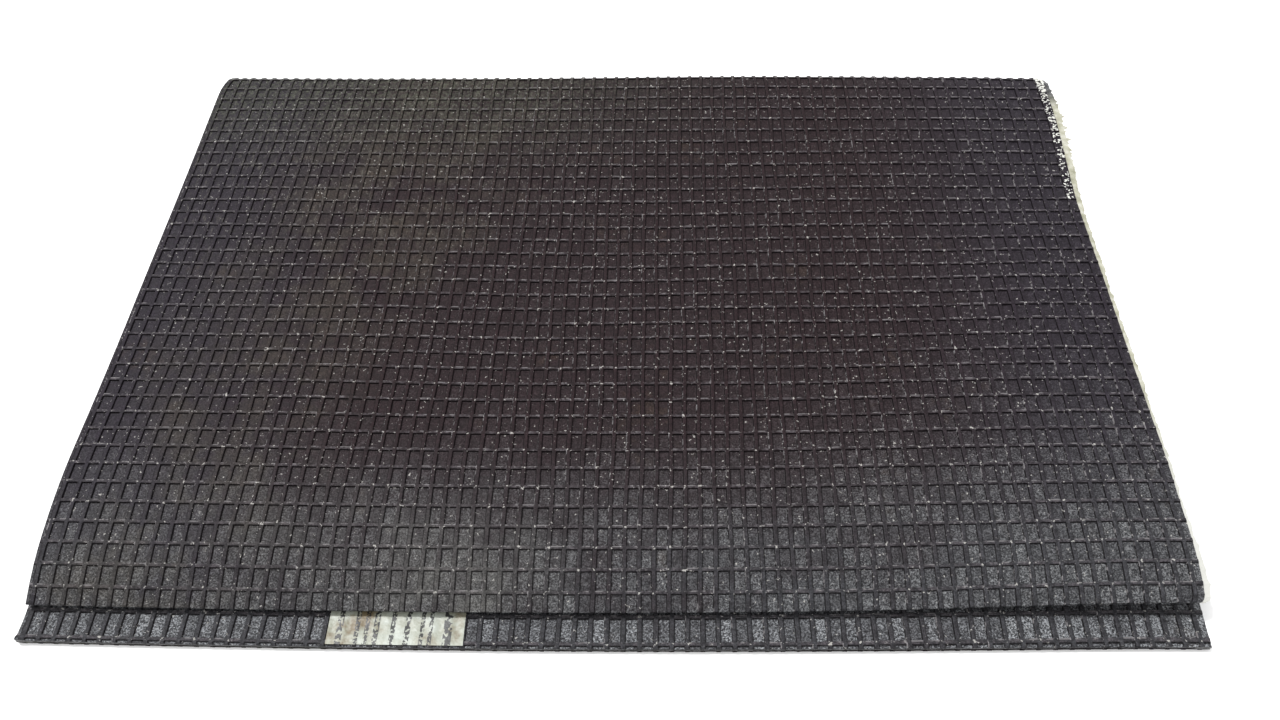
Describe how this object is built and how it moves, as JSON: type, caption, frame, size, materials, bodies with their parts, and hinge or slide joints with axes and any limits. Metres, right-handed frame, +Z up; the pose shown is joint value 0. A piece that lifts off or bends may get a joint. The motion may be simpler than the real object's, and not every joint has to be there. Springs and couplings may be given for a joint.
{
  "type": "seedling heat mat",
  "caption": "Flexible ribbed rubber heat mat for warming seedling trays, folded in half with a loop at the back; it unfolds flat.",
  "frame": {"origin": "on the floor under the middle of the folded mat's box, which is on the underside of the lower half", "axes": "+X across the mat, to the right as seen from its open front; +Y from the open front to the fold at the back; +Z up"},
  "size_m": [0.6126, 0.4567, 0.0411],
  "materials": {
    "ribbed_rubber": "matte, worn, ribbed",
    "edge_sealant": "cured, slightly glossy, ragged",
    "carrier_cloth": "woven glass fibre",
    "heating_wire": "silicone insulation over a resistance core",
    "label_foil": "silvery printed film, stained",
    "boot_rubber": "moulded, satin",
    "gland_rubber": "moulded, satin",
    "lead_insulation": "smooth",
    "crimp_metal": "tinned",
    "cutout_case": "satin"
  },
  "bodies": {
    "lower_half": {"lower_half_outer_sheet": "ribbed_rubber", "lower_half_inner_sheet": "ribbed_rubber", "lower_half_edge_seal": "edge_sealant", "lower_half_carrier_cloth": "carrier_cloth", "lower_half_heating_wire": "heating_wire", "rating_label": "label_foil", "junction_boot": "boot_rubber", "cord_gland": "gland_rubber", "lead_tails": "lead_insulation", "splice_crimps": "crimp_metal", "thermal_cutout": "cutout_case", "cutout_link": "lead_insulation"},
    "fold_strip_1": {"fold_strip_1_outer_sheet": "ribbed_rubber", "fold_strip_1_inner_sheet": "ribbed_rubber", "fold_strip_1_edge_seal": "edge_sealant", "fold_strip_1_carrier_cloth": "carrier_cloth", "fold_strip_1_heating_wire": "heating_wire"},
    "fold_strip_2": {"fold_strip_2_outer_sheet": "ribbed_rubber", "fold_strip_2_inner_sheet": "ribbed_rubber", "fold_strip_2_edge_seal": "edge_sealant", "fold_strip_2_carrier_cloth": "carrier_cloth", "fold_strip_2_heating_wire": "heating_wire"},
    "fold_strip_3": {"fold_strip_3_outer_sheet": "ribbed_rubber", "fold_strip_3_inner_sheet": "ribbed_rubber", "fold_strip_3_edge_seal": "edge_sealant", "fold_strip_3_carrier_cloth": "carrier_cloth", "fold_strip_3_heating_wire": "heating_wire"},
    "fold_strip_4": {"fold_strip_4_outer_sheet": "ribbed_rubber", "fold_strip_4_inner_sheet": "ribbed_rubber", "fold_strip_4_edge_seal": "edge_sealant", "fold_strip_4_carrier_cloth": "carrier_cloth", "fold_strip_4_heating_wire": "heating_wire"},
    "flap_main": {"flap_main_outer_sheet": "ribbed_rubber", "flap_main_inner_sheet": "ribbed_rubber", "flap_main_edge_seal": "edge_sealant", "flap_main_carrier_cloth": "carrier_cloth", "flap_main_heating_wire": "heating_wire"},
    "flap_shoulder": {"flap_shoulder_outer_sheet": "ribbed_rubber", "flap_shoulder_inner_sheet": "ribbed_rubber", "flap_shoulder_edge_seal": "edge_sealant", "flap_shoulder_carrier_cloth": "carrier_cloth", "flap_shoulder_heating_wire": "heating_wire"},
    "flap_lip": {"flap_lip_outer_sheet": "ribbed_rubber", "flap_lip_inner_sheet": "ribbed_rubber", "flap_lip_edge_seal": "edge_sealant", "flap_lip_carrier_cloth": "carrier_cloth", "flap_lip_heating_wire": "heating_wire"}
  },
  "joints": [
    {"name": "fold_1", "type": "hinge", "parent": "lower_half", "child": "fold_strip_1", "pos_m": [0, 0.21297, 0.0024], "axis": [-1, 0, 0], "range_deg": [0, 36.44]},
    {"name": "fold_2", "type": "hinge", "parent": "fold_strip_1", "child": "fold_strip_2", "pos_m": [0, 0.22252, 0.00945], "axis": [-1, 0, 0], "range_deg": [0, 36.44]},
    {"name": "fold_3", "type": "hinge", "parent": "fold_strip_2", "child": "fold_strip_3", "pos_m": [0, 0.22602, 0.02079], "axis": [-1, 0, 0], "range_deg": [0, 36.44]},
    {"name": "fold_4", "type": "hinge", "parent": "fold_strip_3", "child": "fold_strip_4", "pos_m": [0, 0.22209, 0.032], "axis": [-1, 0, 0], "range_deg": [0, 36.44]},
    {"name": "fold_5", "type": "hinge", "parent": "fold_strip_4", "child": "flap_main", "pos_m": [0, 0.21228, 0.03867], "axis": [-1, 0, 0], "range_deg": [0, 36.44]},
    {"name": "shoulder_bend", "type": "hinge", "parent": "flap_main", "child": "flap_shoulder", "pos_m": [0, -0.14356, 0.02497], "axis": [-1, 0, 0], "range_deg": [0, 8.3]},
    {"name": "lip_bend", "type": "hinge", "parent": "flap_shoulder", "child": "flap_lip", "pos_m": [0, -0.19025, 0.01632], "axis": [-1, 0, 0], "range_deg": [0, 13.5]}
  ],
  "couplings": [
    {"joint": "fold_2", "follows": "fold_1", "ratio": 1},
    {"joint": "fold_3", "follows": "fold_1", "ratio": 1},
    {"joint": "fold_4", "follows": "fold_1", "ratio": 1},
    {"joint": "fold_5", "follows": "fold_1", "ratio": 1},
    {"joint": "shoulder_bend", "follows": "fold_1", "ratio": 0.22763},
    {"joint": "lip_bend", "follows": "fold_1", "ratio": 0.37046}
  ]
}
